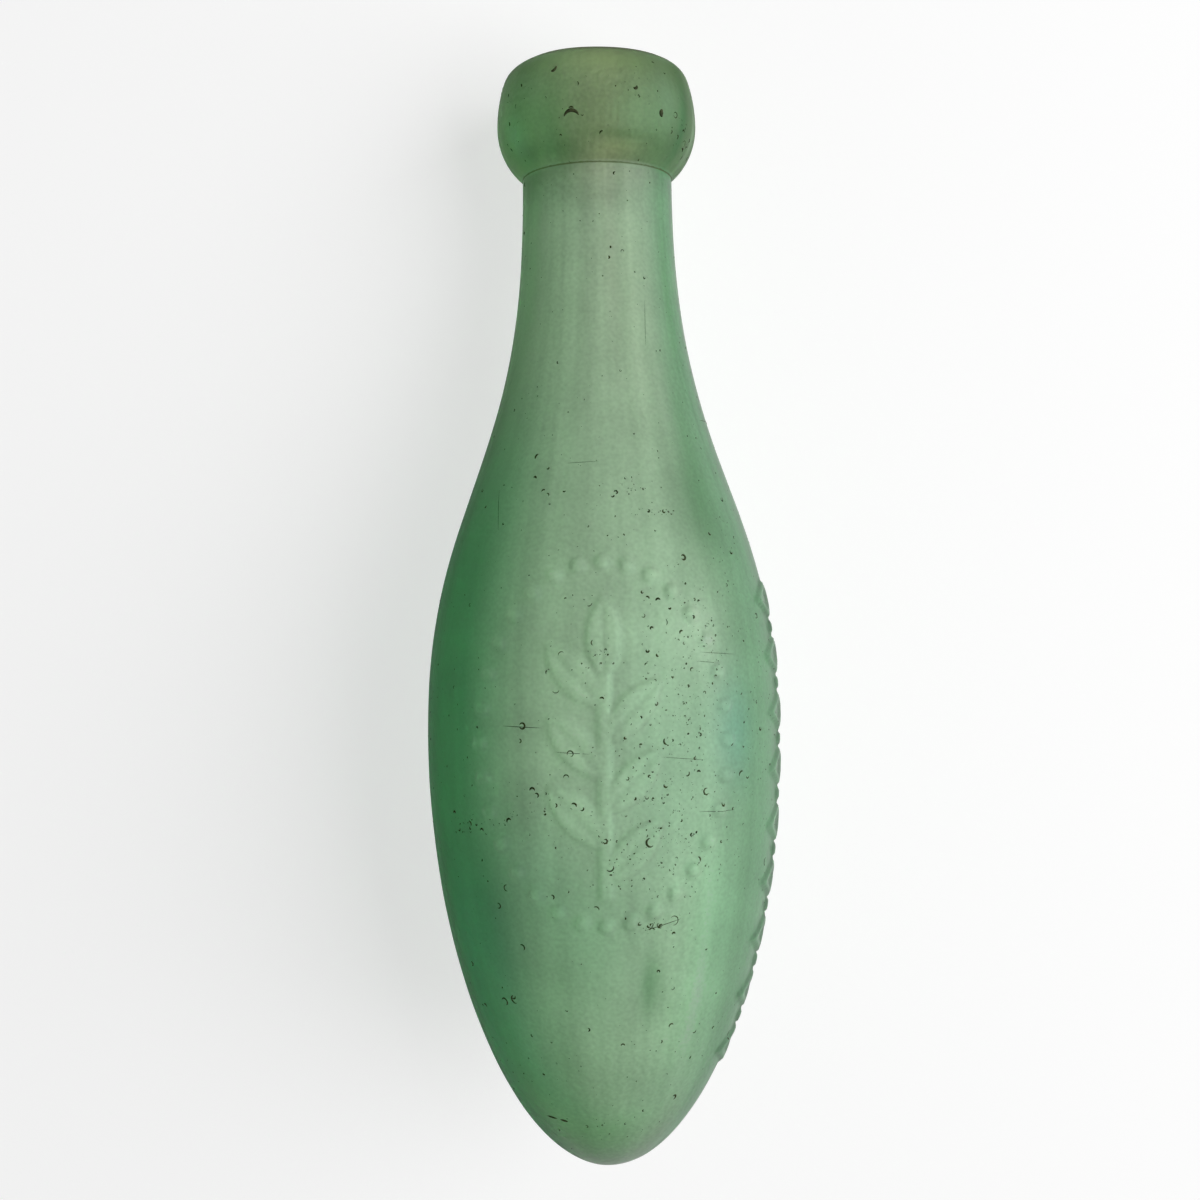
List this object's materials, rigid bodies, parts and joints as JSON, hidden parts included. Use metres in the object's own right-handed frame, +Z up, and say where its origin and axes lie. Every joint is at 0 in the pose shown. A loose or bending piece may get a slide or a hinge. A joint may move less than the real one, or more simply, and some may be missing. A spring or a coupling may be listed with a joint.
{
  "type": "hamilton bottle",
  "caption": "Egg-ended glass soda bottle with a long neck, a thick applied lip, a cork seat and raised ornament, lying on its side.",
  "frame": {"origin": "on the table under the middle of the bottle, which lies on its back on its girth and its lip", "axes": "+Z up, through the ornament on the front; +Y along the bottle towards its mouth; +X towards the bordered side"},
  "size_m": [0.0729, 0.225, 0.0754],
  "materials": {
    "glass": "hazed aqua-green glass with seeds, small pits and soft waves"
  },
  "bodies": {
    "root": {"bottle": "glass"}
  },
  "joints": []
}
